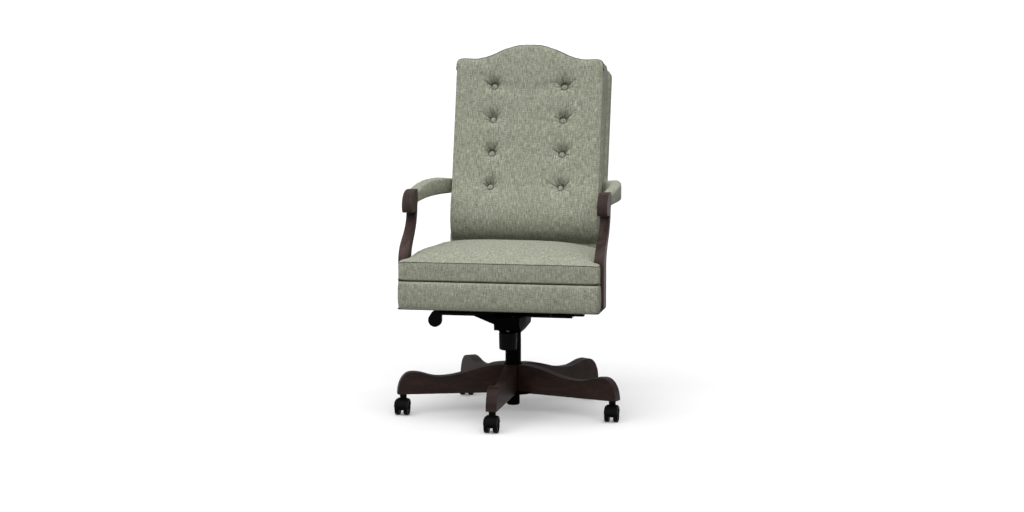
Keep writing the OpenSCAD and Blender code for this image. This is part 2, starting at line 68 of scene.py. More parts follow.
PLAN_R = 0.009                              # corners of the seat box and of its cushion
POST_GAP = 0.0015                           # between the cushion and an arm post
CUSHION_REAR_W, EAR_SLANT = 0.516, 0.002
REST_GAP = 0.001                            # between the back and the seat box it stands on
CREST_OUT, CREST_LOW, CREST_HIGH = 0.180, 0.122, 0.086  # end and handles of the crest's curve
SHOULDER_R = 0.024
FRONT_D = -0.0045                           # depth of the tufted front before it swells
FLARE = 0.016                               # how much the back widens per metre of its height
ROLL_TOP, ROLL_R = 0.173, 0.082             # where the back's foot rolls under, and how far down
BUTTON_R, CREASE_R, BUTTON_SIDES = 0.009, 0.0092, 28
BUTTON_PROUD = 0.0028                       # how far a button stands out of its dimple
VOXEL, ARM_VOXEL = 0.006, 0.004             # remeshes of the cushions and of the arm pads
TRIM_STEP = 0.006                           # between the points of a seam or welt
SEAM_R, WELT_R, BACK_WELT_R = 0.0011, 0.0026, 0.0018
THREAD = 0.0016                             # pitch of the weave

# ---------------------------------------------------------------- geometry helpers


def cubic(a, b, c, d, n):
    """Points on a cubic Bezier curve."""
    t = np.linspace(0, 1, n + 1)[:, None]
    a, b, c, d = (np.array(p, float) for p in (a, b, c, d))
    return (1 - t) ** 3 * a + 3 * (1 - t) ** 2 * t * b + 3 * (1 - t) * t**2 * c + t**3 * d


def corner(a, b, c, r):
    """A rounded corner at b between the directions to a and c."""
    a, b, c = (np.array(p, float) for p in (a, b, c))
    p = b + r * (a - b) / np.linalg.norm(a - b)
    q = b + r * (c - b) / np.linalg.norm(c - b)
    t = np.linspace(0, 1, 7)[:, None]
    return (1 - t) ** 2 * p + 2 * (1 - t) * t * b + t**2 * q


def rounded(points, r):
    """The polygon with every corner rounded."""
    m = len(points)
    return np.vstack([corner(points[i - 1], points[i], points[(i + 1) % m], r) for i in range(m)])


def camel(half, foot, top, rise):
    """Camelback outline in the back's frame: (x, up)."""
    arc = cubic((-CREST_OUT, top), (-CREST_LOW, top),
                (-CREST_HIGH, top + rise), (0, top + rise), 16)
    mirror = (arc * (-1, 1))[::-1][1:]
    return np.vstack([
        corner((-half, foot), (-half, top), (0, top), SHOULDER_R), arc, mirror,
        corner((0, top), (half, top), (half, foot), SHOULDER_R), [(half, foot), (-half, foot)],
    ])


def seat_plan(i):
    """The seat box from above, drawn in by i."""
    f, r = SEAT_W / 2 - i, SEAT_REAR_W / 2 - i
    return rounded([
        (-f, SEAT_FRONT + i), (f, SEAT_FRONT + i), (f, KNEE_Y),
        (r, SEAT_REAR - i), (-r, SEAT_REAR - i), (-f, KNEE_Y),
    ], PLAN_R)


def cushion_plan(i):
    """The T-shaped cushion from above, drawn in by i: ears e, neck n, rear r."""
    e, n, r = SEAT_W / 2 - i, POST_X - POST_W / 2 - POST_GAP - i, CUSHION_REAR_W / 2 - i
    f, b = CUSHION_FRONT + i, CUSHION_REAR - i
    return rounded([
        (-e, f), (e, f), (e, EAR_REAR - i), (n, EAR_REAR + EAR_SLANT - i), (n, KNEE_Y),
        (r, b), (-r, b), (-n, KNEE_Y), (-n, EAR_REAR + EAR_SLANT - i), (-e, EAR_REAR - i),
    ], PLAN_R)


def from_back(p):
    """Points (x, depth, up) in the back's own frame, brought to the chair's."""
    p = np.asarray(p, float)
    c, s = math.cos(RECLINE), math.sin(RECLINE)
    return np.stack([p[:, 0], BACK_Y + p[:, 1] * c + p[:, 2] * s,
                     BACK_Z - p[:, 1] * s + p[:, 2] * c], 1)


def to_back(p):
    """The same the other way round."""
    p = np.asarray(p, float)
    c, s = math.cos(RECLINE), math.sin(RECLINE)
    y, z = p[:, 1] - BACK_Y, p[:, 2] - BACK_Z
    return np.stack([p[:, 0], y * c - z * s, y * s + z * c], 1)


def smooth01(t):
    """An S-shaped step from 0 to 1."""
    t = np.clip(t, 0, 1)
    return t * t * (3 - 2 * t)


def resampled(points, step, closed=True):
    """The polyline with points a step apart."""
    pts = np.asarray(points, float)
    if closed:
        pts = np.vstack([pts, pts[:1]])
    lengths = np.linalg.norm(np.diff(pts, axis=0), axis=1)
    along = np.concatenate([[0], np.cumsum(lengths)])
    n = max(8, int(round(along[-1] / step)))
    s = np.linspace(0, along[-1], n + 1)[: n if closed else n + 1]
    return np.stack([np.interp(s, along, pts[:, k]) for k in range(pts.shape[1])], 1)


def level_ring(outline, z):
    ring = resampled(outline, TRIM_STEP)
    return np.column_stack([ring, np.full(len(ring), z)])


def outline_distance(p, outline):
    """Depth of 2D points inside a closed outline, and the unit direction inwards."""
    a = np.asarray(outline, float)
    b = np.roll(a, -1, axis=0)
    keep = np.linalg.norm(b - a, axis=1) > 1e-7
    a, b = a[keep], b[keep]
    best = np.full(len(p), 1e9)
    near = np.zeros((len(p), 2))
    for q, r in zip(a, b):
        d = r - q
        t = np.clip(((p - q) @ d) / (d @ d), 0, 1)
        c = q + t[:, None] * d
        dist = np.linalg.norm(p - c, axis=1)
        closer = dist < best
        best[closer], near[closer] = dist[closer], c[closer]
    inwards = p - near
    return best, inwards / np.maximum(best, 1e-9)[:, None]


def new_object(name, verts, faces, material=None, smooth=True):
    mesh = bpy.data.meshes.new(name)
    mesh.from_pydata([tuple(v) for v in verts], [], [tuple(f) for f in faces])
    mesh.validate()
    if smooth:
        mesh.shade_smooth()
    if material:
        mesh.materials.append(material)
    obj = bpy.data.objects.new(name, mesh)
    bpy.context.scene.collection.objects.link(obj)
    return obj


def coords(obj):
    co = np.zeros(len(obj.data.vertices) * 3, np.float32)
    obj.data.vertices.foreach_get("co", co)
    return co.reshape(-1, 3).astype(float)


def set_coords(obj, co):
    obj.data.vertices.foreach_set("co", np.asarray(co, np.float32).ravel())
    obj.data.update()


def evaluated(obj):
    """Replaces obj's mesh by what its modifiers make of it."""
    graph = bpy.context.evaluated_depsgraph_get()
    mesh = bpy.data.meshes.new_from_object(obj.evaluated_get(graph))
    obj.modifiers.clear()
    obj.data = mesh
    return obj


def remesh(obj, voxel):
    m = obj.modifiers.new("remesh", "REMESH")
    m.mode, m.voxel_size, m.use_smooth_shade = "VOXEL", voxel, True
    return evaluated(obj)


def subdivide(obj):
    m = obj.modifiers.new("subdivide", "SUBSURF")
    m.levels = m.render_levels = 1
    return evaluated(obj)


def relax(obj, factor, steps):
    m = obj.modifiers.new("relax", "SMOOTH")
    m.factor, m.iterations = factor, steps
    return evaluated(obj)


def outward(obj):
    """Turns every face to look outwards."""
    bm = bmesh.new()
    bm.from_mesh(obj.data)
    bmesh.ops.recalc_face_normals(bm, faces=bm.faces)
    bm.to_mesh(obj.data)
    bm.free()
    return obj


def seen_from_above(u, v, w):
    """Where a prism that stands upright has its point (u, v, w)."""
    return np.stack([u, v, w], 1)


def in_the_back(u, v, w):
    """Where a prism that lies in the back's plane, w deep, has its point (u, v, w)."""
    return from_back(np.stack([u, w, v], 1))


def prism(name, outline, lo, hi, place):
    """A closed solid: the outline (u, v) swept from lo to hi; place(u, v, w) gives points."""
    o = np.asarray(outline, float)
    n = len(o)
    rings = [place(o[:, 0], o[:, 1], np.full(n, w)) for w in (lo, hi)]
    verts = np.vstack(rings)
    sides = [(i, (i + 1) % n, n + (i + 1) % n, n + i) for i in range(n)]
    return outward(new_object(name, verts, sides + [range(n)[::-1], range(n, 2 * n)]))


def round_over(u, outline, w, face, r, side):
    """Rounds the edge between a prism's walls and its flat end at w = face.
    side is +1 where the solid lies above the end, -1 where it lies below. Returns new u, w."""
    depth, inwards = outline_distance(u, outline)
    a, b = r - depth, r - side * (w - face)
    length = np.hypot(a, b)
    hit = (a > 0) & (b > 0) & (length > r)
    k = np.where(hit, r / np.maximum(length, 1e-9), 1.0)
    u = u + inwards * (a * (1 - k) * hit)[:, None]
    return u, w + side * b * (1 - k) * hit


def snapped(u, outline):
    """Puts points that lie close to the outline exactly on it, as the remesh leaves it stepped."""
    reach = 0.0025
    depth, inwards = outline_distance(u, outline)
    return u - inwards * (depth * (depth < reach))[:, None]


def smoothed(obj, values, steps):
    """The values at the vertices, averaged a few times with their neighbours'."""
    pairs = np.zeros(len(obj.data.edges) * 2, np.int32)
    obj.data.edges.foreach_get("vertices", pairs)
    a, b = pairs.reshape(-1, 2).T
    count = np.bincount(a, minlength=len(values)) + np.bincount(b, minlength=len(values))
    for _ in range(steps):
        total = np.zeros_like(values)
        np.add.at(total, a, values[b])
        np.add.at(total, b, values[a])
        values = 0.5 * values + 0.5 * total / np.maximum(count, 1)[:, None]
    return values


def inflate(obj, pinned, pressure, cap, frames=20, stiffness=15.0):
    """Blows the closed mesh up as cloth. pinned is a weight per vertex, 0, 0.5 or 1, and no
    point moves further than cap. The movement is evened out, so that no ridge stays in it."""
    start = coords(obj)
    group = obj.vertex_groups.new(name="pin")
    for level in (1.0, 0.5):
        group.add(np.nonzero(pinned == level)[0].tolist(), level, "REPLACE")
    m = obj.modifiers.new("cloth", "CLOTH")
    s = m.settings
    s.quality = 5
    s.mass = 0.3
    s.tension_stiffness = s.compression_stiffness = stiffness
    s.shear_stiffness = stiffness / 3
    s.bending_stiffness = 0.5
    s.use_pressure = True
    s.uniform_pressure_force = pressure
    s.vertex_group_mass = "pin"
    s.effector_weights.gravity = 0
    m.point_cache.frame_start, m.point_cache.frame_end = 1, frames
    for f in range(1, frames + 1):
        bpy.context.scene.frame_set(f)
    evaluated(obj)
    bpy.context.scene.frame_set(1)
    obj.vertex_groups.clear()
    move = smoothed(obj, coords(obj) - start, 14)
    length = np.linalg.norm(move, axis=1)
    move *= np.minimum(1, cap / np.maximum(length, 1e-9))[:, None]
    set_coords(obj, start + move)


def sweep(name, path, r, material, closed=True, sides=8):
    """A round cord along a path of 3D points."""
    p = np.asarray(path, float)
    n = len(p)
    if closed:
        tangent = np.roll(p, -1, 0) - np.roll(p, 1, 0)
    else:
        tangent = np.gradient(p, axis=0)
    tangent /= np.maximum(np.linalg.norm(tangent, axis=1), 1e-9)[:, None]
    up = np.array([0, 0, 1.0])
    side = np.cross(tangent, up)
    upright = np.linalg.norm(side, axis=1) < 0.2
    side[upright] = np.cross(tangent[upright], (0, 1.0, 0))
    side /= np.linalg.norm(side, axis=1)[:, None]
    other = np.cross(side, tangent)
    a = np.linspace(0, 2 * math.pi, sides, endpoint=False)
    ring = [p + r * (math.cos(t) * side + math.sin(t) * other) for t in a]
    verts = np.stack(ring, 1).reshape(-1, 3)
    faces = []
    for i in range(n if closed else n - 1):
        j = (i + 1) % n
        for k in range(sides):
            l = (k + 1) % sides
            faces.append((i * sides + k, i * sides + l, j * sides + l, j * sides + k))
    if not closed:
        faces += [range(sides)[::-1], range((n - 1) * sides, n * sides)]
    return new_object(name, verts, faces, material)


def tree_of(obj):
    graph = bpy.context.evaluated_depsgraph_get()
    return BVHTree.FromObject(obj, graph)


def onto(tree, points):
    """The points moved to the nearest place on a surface."""
    return np.array([tree.find_nearest(Vector(p))[0] for p in points])


# ---------------------------------------------------------------- materials


NORMAL, OBJECT, POINTINESS = 1, 3, 7        # outputs of Texture Coordinate and of Geometry


class Graph:
    """A material's node tree, written as nested calls."""

    def __init__(self, name):
        self.material = bpy.data.materials.new(name)
        self.material.use_nodes = True
        self.tree = self.material.node_tree
        self.tree.nodes.clear()

    def node(self, kind, inputs=None, out=0, **props):
        n = self.tree.nodes.new("ShaderNode" + kind)
        for k, v in props.items():
            setattr(n, k, v)
        for k, v in (inputs or {}).items():
            self.plug(n.inputs[k], v)
        return n.outputs[out] if out is not None else n

    def plug(self, socket, value):
        if isinstance(value, bpy.types.NodeSocket):
            self.tree.links.new(value, socket)
        else:
            socket.default_value = value

    def math(self, op, a, b=0.0, clamp=False):
        return self.node("Math", {0: a, 1: b}, operation=op, use_clamp=clamp)

    def noise(self, vector, scale, detail, rough, distortion=0.0, w=0.0):
        return self.node("TexNoise", {"Vector": vector, "Scale": scale, "Detail": detail,
                                      "Roughness": rough, "Distortion": distortion, "W": w},
                         noise_dimensions="4D")

    def stretch(self, vector, scale):
        return self.node("Mapping", {"Vector": vector, "Scale": scale})

    def ramp(self, fac, stops):
        n = self.node("ValToRGB", {"Fac": fac}, out=None)
        e = n.color_ramp.elements
        while len(e) < len(stops):
            e.new(0.5)
        for k, (at, colour) in zip(e, stops):
            k.position, k.color = at, colour
        return n.outputs[0]

    def mix(self, fac, a, b):
        n = self.node("Mix", out=None, data_type="RGBA", blend_type="MIX")
        for name, v in (("Factor", fac), ("A", a), ("B", b)):
            socket = [s for s in n.inputs if s.name == name and s.type != "VECTOR"
                      and (name == "Factor" or s.type == "RGBA")][0]
            self.plug(socket, v)
        return [s for s in n.outputs if s.type == "RGBA"][0]

    def bump(self, height, strength, distance):
        return self.node("Bump", {"Height": height, "Strength": strength, "Distance": distance})

    def finish(self, **inputs):
        shader = self.node("BsdfPrincipled", {k.replace("_", " "): v for k, v in inputs.items()})
        self.node("OutputMaterial", {"Surface": shader}, out=None)
        return self.material


def object_point(g):
    return g.node("TexCoord", out=OBJECT)


def linen(name, tint=1.0):
    """Heathered linen: warp slubs run up the upright faces and to the rear over the level ones."""
    g = Graph(name)
    point = g.node("SeparateXYZ", {0: object_point(g)}, out=None)
    facing = g.node("SeparateXYZ", {0: g.node("TexCoord", out=NORMAL)}, out=None)
    on_side = g.math("GREATER_THAN", g.math("ABSOLUTE", facing.outputs[0]), 0.75)
    on_top = g.math("GREATER_THAN", g.math("ABSOLUTE", facing.outputs[2]), 0.72)
    x, y, z = point.outputs

    def pick(fac, a, b):
        return g.math("ADD", g.math("MULTIPLY", a, g.math("SUBTRACT", 1.0, fac)),
                      g.math("MULTIPLY", b, fac))

    u, v = pick(on_side, x, y), pick(on_top, z, y)
    cloth = g.node("CombineXYZ", {0: u, 1: v})
    warp = g.noise(g.stretch(cloth, (420, 52, 1)), 1.0, 2.0, 0.6)
    weft = g.noise(g.stretch(cloth, (60, 420, 1)), 1.0, 2.0, 0.6, w=3.1)
    slub = g.noise(g.stretch(cloth, (230, 40, 1)), 1.0, 2.0, 0.5, w=7.7)
    cloud = g.noise(object_point(g), 26.0, 2.0, 0.5, w=1.3)
    heather = g.noise(g.stretch(cloth, (400, 330, 1)), 1.0, 2.0, 0.6, w=5.0)
    tone = g.math("ADD", g.math("MULTIPLY", warp, 0.40), g.math("MULTIPLY", weft, 0.26))
    tone = g.math("ADD", tone, g.math("MULTIPLY", slub, 0.14))
    tone = g.math("ADD", tone, g.math("MULTIPLY", cloud, 0.03))
    tone = g.math("ADD", tone, g.math("MULTIPLY", heather, 0.17))

    def shade(*rgb):
        return tuple(c * tint for c in rgb) + (1.0,)

    colour = g.ramp(tone, [
        (0.37, shade(0.105, 0.111, 0.078)), (0.46, shade(0.280, 0.292, 0.220)),
        (0.53, shade(0.385, 0.397, 0.312)), (0.62, shade(0.680, 0.670, 0.545)),
    ])
    # Painted shade: where the cover is pinched into tight folds (low pointiness) its colour is
    # darkened as if shadowed
    painted_fold_shade = g.math("SUBTRACT", 0.49, g.node("NewGeometry", out=POINTINESS))
    colour = g.mix(g.math("MULTIPLY", painted_fold_shade, 14.0, clamp=True), colour,
                   shade(0.070, 0.073, 0.054))
    thread_u = g.math("SINE", g.math("MULTIPLY", u, 2 * math.pi / THREAD))
    thread_v = g.math("SINE", g.math("MULTIPLY", v, 2 * math.pi / THREAD))
    height = g.math("ADD", g.math("MULTIPLY", g.math("MULTIPLY", thread_u, thread_v), 0.35),
                    g.math("MULTIPLY", tone, 1.6))
    rough = g.math("ADD", 0.84, g.math("MULTIPLY", warp, 0.14))
    return g.finish(Base_Color=colour, Roughness=rough, Normal=g.bump(height, 0.5, 0.0012),
                    Sheen_Weight=0.12, Sheen_Roughness=0.5, Specular_IOR_Level=0.25)


def dark_wood(name, tint, pale=0.0, turn=None):
    """Espresso stain over an open grain, under a satin lacquer worn a little at the edges.
    The grain runs upwards, or along the level direction at the angle turn. pale takes the
    red out of the stain."""
    g = Graph(name)
    p = object_point(g)
    if turn is not None:
        p = g.node("Mapping", {"Vector": p, "Rotation": (0, math.pi / 2, -turn)})
    grain = g.noise(g.stretch(p, (38, 38, 5)), 1.0, 6.0, 0.65, 0.6)
    flow = g.noise(g.stretch(p, (9, 9, 2.2)), 1.0, 2.0, 0.5, w=2.0)
    pores = g.noise(g.stretch(p, (420, 420, 40)), 1.0, 2.0, 0.5, w=4.0)
    tone = g.math("ADD", g.math("MULTIPLY", grain, 0.6), g.math("MULTIPLY", flow, 0.4))

    def stain(*rgb):
        grey = sum(rgb) / 3
        return tuple(tint * (c * (1 - pale) + grey * pale) for c in rgb) + (1.0,)

    colour = g.ramp(tone, [(0.36, stain(0.0080, 0.0035, 0.0026)),
                           (0.50, stain(0.0190, 0.0092, 0.0069)),
                           (0.62, stain(0.0360, 0.0188, 0.0143))])
    worn = g.math("SUBTRACT", g.node("NewGeometry", out=POINTINESS), 0.5)
    wear = g.math("MULTIPLY", worn, 3.0, clamp=True)
    colour = g.mix(g.math("MULTIPLY", wear, 0.35), colour, (0.070, 0.040, 0.030, 1))
    height = g.math("ADD", g.math("MULTIPLY", grain, 0.5), g.math("MULTIPLY", pores, 0.5))
    rough = g.math("ADD", 0.44, g.math("MULTIPLY", grain, 0.16))
    return g.finish(Base_Color=colour, Roughness=rough, Normal=g.bump(height, 0.18, 0.0006),
                    Coat_Weight=0.05, Coat_Roughness=0.40, Specular_IOR_Level=0.15)


def moulded(name, colour, rough, grain=900.0, strength=0.12, specular=0.4):
    """Moulded plastic or powder coat: a fine leathery grain with dust and polish."""
    g = Graph(name)
    p = object_point(g)
    fine = g.noise(p, grain, 2.0, 0.5)
    broad = g.noise(p, 14.0, 3.0, 0.6, w=2.0)
    base = g.ramp(broad, [(0.35, tuple(c * 0.75 for c in colour) + (1,)),
                          (0.65, tuple(c * 1.3 for c in colour) + (1,))])
    roughness = g.math("ADD", rough - 0.08, g.math("MULTIPLY", broad, 0.16))
    return g.finish(Base_Color=base, Roughness=roughness, Specular_IOR_Level=specular,
                    Normal=g.bump(fine, strength, 0.0003))


def brushed_steel():
    g = Graph("zinc_steel")
    p = object_point(g)
    lines = g.noise(g.stretch(p, (60, 900, 900)), 1.0, 3.0, 0.6)
    broad = g.noise(p, 30.0, 2.0, 0.5, w=2.0)
    colour = g.ramp(broad, [(0.35, (0.42, 0.43, 0.44, 1)), (0.65, (0.60, 0.60, 0.62, 1))])
    rough = g.math("ADD", 0.26, g.math("MULTIPLY", lines, 0.2))
    return g.finish(Base_Color=colour, Metallic=1.0, Roughness=rough,
                    Normal=g.bump(lines, 0.08, 0.0003))


def raw_wood():
    g = Graph("raw_hardwood")
    p = object_point(g)
    rings = g.noise(g.stretch(p, (70, 6, 70)), 1.0, 5.0, 0.6, 0.5)
    colour = g.ramp(rings, [(0.35, (0.42, 0.28, 0.15, 1)), (0.65, (0.66, 0.50, 0.31, 1))])
    rough = g.math("ADD", 0.55, g.math("MULTIPLY", rings, 0.2))
    return g.finish(Base_Color=colour, Roughness=rough, Normal=g.bump(rings, 0.3, 0.0006))


def dust_cloth():
    g = Graph("spun_dust_cloth")
    p = object_point(g)
    fibres = g.noise(g.stretch(p, (700, 500, 700)), 1.0, 3.0, 0.7, 1.0)
    colour = g.ramp(fibres, [(0.3, (0.006, 0.006, 0.006, 1)), (0.7, (0.03, 0.03, 0.03, 1))])
    return g.finish(Base_Color=colour, Roughness=0.95, Normal=g.bump(fibres, 0.4, 0.0004))


def studio_white(name, glow):
    """Matt white paper, which gives off a little light of its own."""
    g = Graph(name)
    p = object_point(g)
    mottle = g.noise(p, 3.0, 2.0, 0.5)
    colour = g.ramp(mottle, [(0.3, (0.84, 0.84, 0.84, 1)), (0.7, (0.87, 0.87, 0.87, 1))])
    return g.finish(Base_Color=colour, Roughness=0.9, Specular_IOR_Level=0.0,
                    Emission_Color=(1, 1, 1, 1), Emission_Strength=glow)


LINEN = linen("heathered_linen")
# Painted shade: a dark linen for the seam lines, the deck and its pull-through, where shadow lies
# in the joins
SEAM_SHADOW = linen("linen_seam_shadow", tint=0.42)
WELT = linen("linen_welt", tint=1.04)
# Painted shade for the creases round the buttons
CREASE_SHADE = linen("linen_crease_shade", tint=0.62)
# The posts and scrolls get the stain at tint 2.9 and the legs at 0.95: painted light on the posts
# and painted shade on the legs, which stand under the seat
WOOD = dark_wood("espresso_wood", 2.9, pale=0.35)
SLOTS = {
    "dark_wood": WOOD,
    "black_plastic": moulded("satin_black_nylon", (0.0015, 0.0015, 0.0016), 0.46, specular=0.05),
    "black_metal": moulded("black_powder_coat", (0.0006, 0.0006, 0.0006), 0.54,
                           1400.0, 0.10, specular=0.02),
    "steel": brushed_steel(),
    "frame_wood": raw_wood(),
    "nylon": moulded("natural_nylon", (0.62, 0.60, 0.53), 0.45),
    "rubber": moulded("black_rubber", (0.012, 0.012, 0.012), 0.75, 500.0, 0.2),
    "dust_cloth": dust_cloth(),
    "linen": LINEN,
}
for part in frame["record"]["subparts"]:
    mesh = nodes[part["node"]].data
    mesh.materials.clear()
    mesh.materials.append(SLOTS[part["material_slot"]])
# Painted shade: the deck cloth gets the dark seam-shadow linen, so the gap under the cushion reads
# as shadow
nodes["seat_deck"].data.materials[0] = SEAM_SHADOW     # deck cloth, in the shade of the cushion
# The legs' copies are darker, painted shade under the seat, and each turns its grain along its leg
for i in range(1, 6):
    mesh = nodes[f"leg_{i}"].data
    x, y = np.mean([v.co[:2] for v in mesh.vertices], axis=0)
    mesh.materials[0] = dark_wood(f"espresso_wood_shaded_leg_{i}", 0.95, turn=math.atan2(y, x))


def eased(node, width, segments=2):
    """Soft edges on a CAD node, by modifiers only."""
    obj = nodes[node]
    weld = obj.modifiers.new("weld", "WELD")
    weld.merge_threshold = 0.00002              # joins the faces along their edges
    bevel = obj.modifiers.new("ease", "BEVEL")
    bevel.width, bevel.segments = width, segments
    bevel.limit_method, bevel.angle_limit = "ANGLE", math.radians(34)
    obj.data.shade_smooth()
    obj.modifiers.new("normals", "WEIGHTED_NORMAL").weight = 80


for i in range(1, 6):
    eased(f"leg_{i}", 0.0030, segments=3)
    eased(f"caster_hood_{i}", 0.0012)
    eased(f"caster_wheels_{i}", 0.0012)
for node in ("arm_post_left", "arm_post_right"):
    eased(node, 0.0022, segments=3)
for node in ("mech_housing", "tension_knob", "lock_grip", "height_grip", "base_hub"):
    eased(node, 0.0010)

# ---------------------------------------------------------------- seat cushion


def crown(x, y):
    """Height of the cushion's top, which swells between its seams."""
    rise = CROWN_TOP - BORDER_TOP + 0.001
    across = rise * (1 - np.abs(x / (SEAT_W / 2 + 0.004)) ** 3.0)
    along = rise * (1 - np.abs((y - CROWN_Y) / (CROWN_Y - CUSHION_FRONT)) ** 2.2)
    # The lower of the two, with a soft change from one to the other
    soft = 0.005
    low = -soft * np.log(np.exp(-across / soft) + np.exp(-along / soft))
    # Use has let the right rear corner down and pushed some of the filling to the left
    sag = 0.012 * np.exp(-((x - 0.27) / 0.11) ** 2 - ((y - 0.10) / 0.14) ** 2)
    full = 0.005 * np.exp(-((x + 0.28) / 0.07) ** 2 - ((y + 0.06) / 0.10) ** 2)
    return BORDER_TOP + 0.0045 + np.maximum(low + soft * math.log(2) * 0.8, 0) + full - sag


def make_seat_cushion():
    top, swell = 0.504, 0.005       # before the crown is added; what the pressure adds to it
    plan = cushion_plan(-0.0005)
    obj = prism("seat_cushion_cover", plan, CUSHION_UNDER, top, seen_from_above)
    remesh(obj, VOXEL)
    p = coords(obj)
    # Only the top face rises to the crown; the border below keeps its height
    lift = smooth01((p[:, 2] - (top - 0.030)) / 0.030)
    p[:, 2] += lift * (crown(p[:, 0], p[:, 1]) - swell - top)
    set_coords(obj, p)
    relax(obj, 0.5, 2)
    p = coords(obj)
    # Both seams hold the cover back, and its underside stays flat
    depth, _ = outline_distance(p[:, :2], plan)
    edge_top = crown(p[:, 0], p[:, 1]) - swell
    at_seam = (np.abs(p[:, 2] - edge_top) < 0.010) | (p[:, 2] < CUSHION_UNDER + 0.006)
    under = p[:, 2] < CUSHION_UNDER + 0.003
    pins = np.where(under, 1.0, np.where((depth < 0.009) & at_seam, 0.5, 0.0))
    inflate(obj, pins, pressure=5.0, cap=0.008)
    subdivide(obj)
    p = coords(obj)
    # A slack ripple along the front border
    front = smooth01((CUSHION_FRONT + 0.020 - p[:, 1]) / 0.016)
    band = np.sin(math.pi * np.clip((p[:, 2] - CUSHION_UNDER) / (BORDER_TOP - CUSHION_UNDER), 0, 1))
    ripple = 0.0006 * np.sin(p[:, 0] * 61 + 1.1) + 0.0005 * np.sin(p[:, 0] * 97 + p[:, 2] * 60)
    p[:, 1] += front * band * ripple
    p[:, 2] = np.maximum(p[:, 2], CUSHION_UNDER)
    set_coords(obj, p)
    obj.data.materials.clear()
    obj.data.materials.append(LINEN)
    obj.data.shade_smooth()
    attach(obj, "seat")
    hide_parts("seat_cushion")
    return obj


def make_cushion_trim(cushion):
    tree = tree_of(cushion)
    plan = resampled(cushion_plan(-0.001), TRIM_STEP)
    seam = np.column_stack([plan, crown(plan[:, 0], plan[:, 1]) - 0.0055])
    low = level_ring(cushion_plan(-0.002), CUSHION_UNDER + 0.0042)
    for name, path, r, material in (("cushion_top_seam", seam, SEAM_R, SEAM_SHADOW),
                                    ("cushion_lower_welt", low, WELT_R, WELT)):
        trim = sweep(name, onto(tree, path), r, material)
        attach(trim, "seat")


# ---------------------------------------------------------------- seat box


def make_seat_box():
    """The fabric skin of the seat box, with its folded lower edge and a welt under it."""
    plan = resampled(seat_plan(0.0), 0.008)
    n = len(plan)
    tangent = np.roll(plan, -1, 0) - np.roll(plan, 1, 0)
    normal = np.stack([tangent[:, 1], -tangent[:, 0]], 1)
    normal /= np.linalg.norm(normal, axis=1)[:, None]
    foot = SEAT_UNDER - 0.0020      # the fold hangs a little below the frame
    height = BOX_TOP - foot
    inner = -0.0078                 # where the skin ends, just inside its CAD solid
    steps = 12
    # (outwards, up): under the fold, up a slightly full side, and over the top edge
    profile = [(inner, 0.0005), (-0.004, 0.0)]
    for k in range(steps + 1):
        t = k / steps
        ease = 0.004 * ((1 - t) ** 10) + 0.0035 * t**14
        profile.append((-0.0005 + 0.0016 * math.sin(math.pi * t) - ease, height * t))
    profile += [(inner, height)]
    verts = []
    for off, z in profile:
        wave = 0.0004 * np.sin(plan[:, 0] * 70 + 2.0) * math.sin(math.pi * min(1, z / height))
        verts.append(np.column_stack([plan + normal * (off + wave)[:, None],
                                      np.full(n, foot + z)]))
    m = len(profile)
    faces = [(a * n + i, a * n + (i + 1) % n, (a + 1) % m * n + (i + 1) % n, (a + 1) % m * n + i)
             for a in range(m) for i in range(n)]
    obj = new_object("seat_box_upholstery", np.vstack(verts), faces, LINEN)
    # Slots for the feet of the arm posts
    near, far, above = POST_X - POST_W / 2, POST_X + 0.045, 0.60
    cutters = []
    for left, right in ((-far, -near), (near, far)):
        square = [(left, POST_FRONT), (right, POST_FRONT), (right, POST_REAR), (left, POST_REAR)]
        cutters.append(prism("cutter", square, POST_FOOT, above, seen_from_above))
        slot = obj.modifiers.new("slot", "BOOLEAN")
        slot.operation, slot.object, slot.solver = "DIFFERENCE", cutters[-1], "EXACT"
    evaluated(obj)
    for cutter in cutters:
        bpy.data.objects.remove(cutter)
    obj.data.shade_smooth()
    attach(obj, "seat")
    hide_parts("seat_box_cover")
    ring = level_ring(seat_plan(0.0012), foot + WELT_R)
    welt = sweep("seat_box_welt", ring, WELT_R, WELT)
    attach(welt, "seat")


def make_deck_flap():
    """The strip of deck cloth that is pulled through under the foot of the back. It is cut from the
    dark seam-shadow linen: painted shade under the foot of the back.
    """
    half, front, rear = 0.2535, 0.190, 0.238
    plan = rounded([(-half, front), (half, front), (half, rear), (-half, rear)], 0.004)
    obj = prism("deck_pull_through", plan, BOX_TOP + 0.0002, BOX_TOP + 0.0024, seen_from_above)
    obj.data.materials.append(SEAM_SHADOW)
    obj.data.shade_flat()
    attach(obj, "seat")


# ---------------------------------------------------------------- back


def tuft_dimples(x, z, depth, reach, lopsided):
    """How far the tufted front is drawn in round its buttons, at (x, up). lopsided makes the
    dimples deeper and wider above a button than below it."""
    total = np.zeros_like(x)
    for bx, bz in BUTTONS:
        dx, dz = x - bx, z - bz
        above = lopsided * np.sin(np.arctan2(dz, dx))
        beyond = np.maximum(np.hypot(dx, dz) - 0.006, 0)
        slope = np.exp(-beyond / (reach * (1 + above)))
        total += depth * (1 + above * smooth01(beyond / 0.010)) * slope
    return total


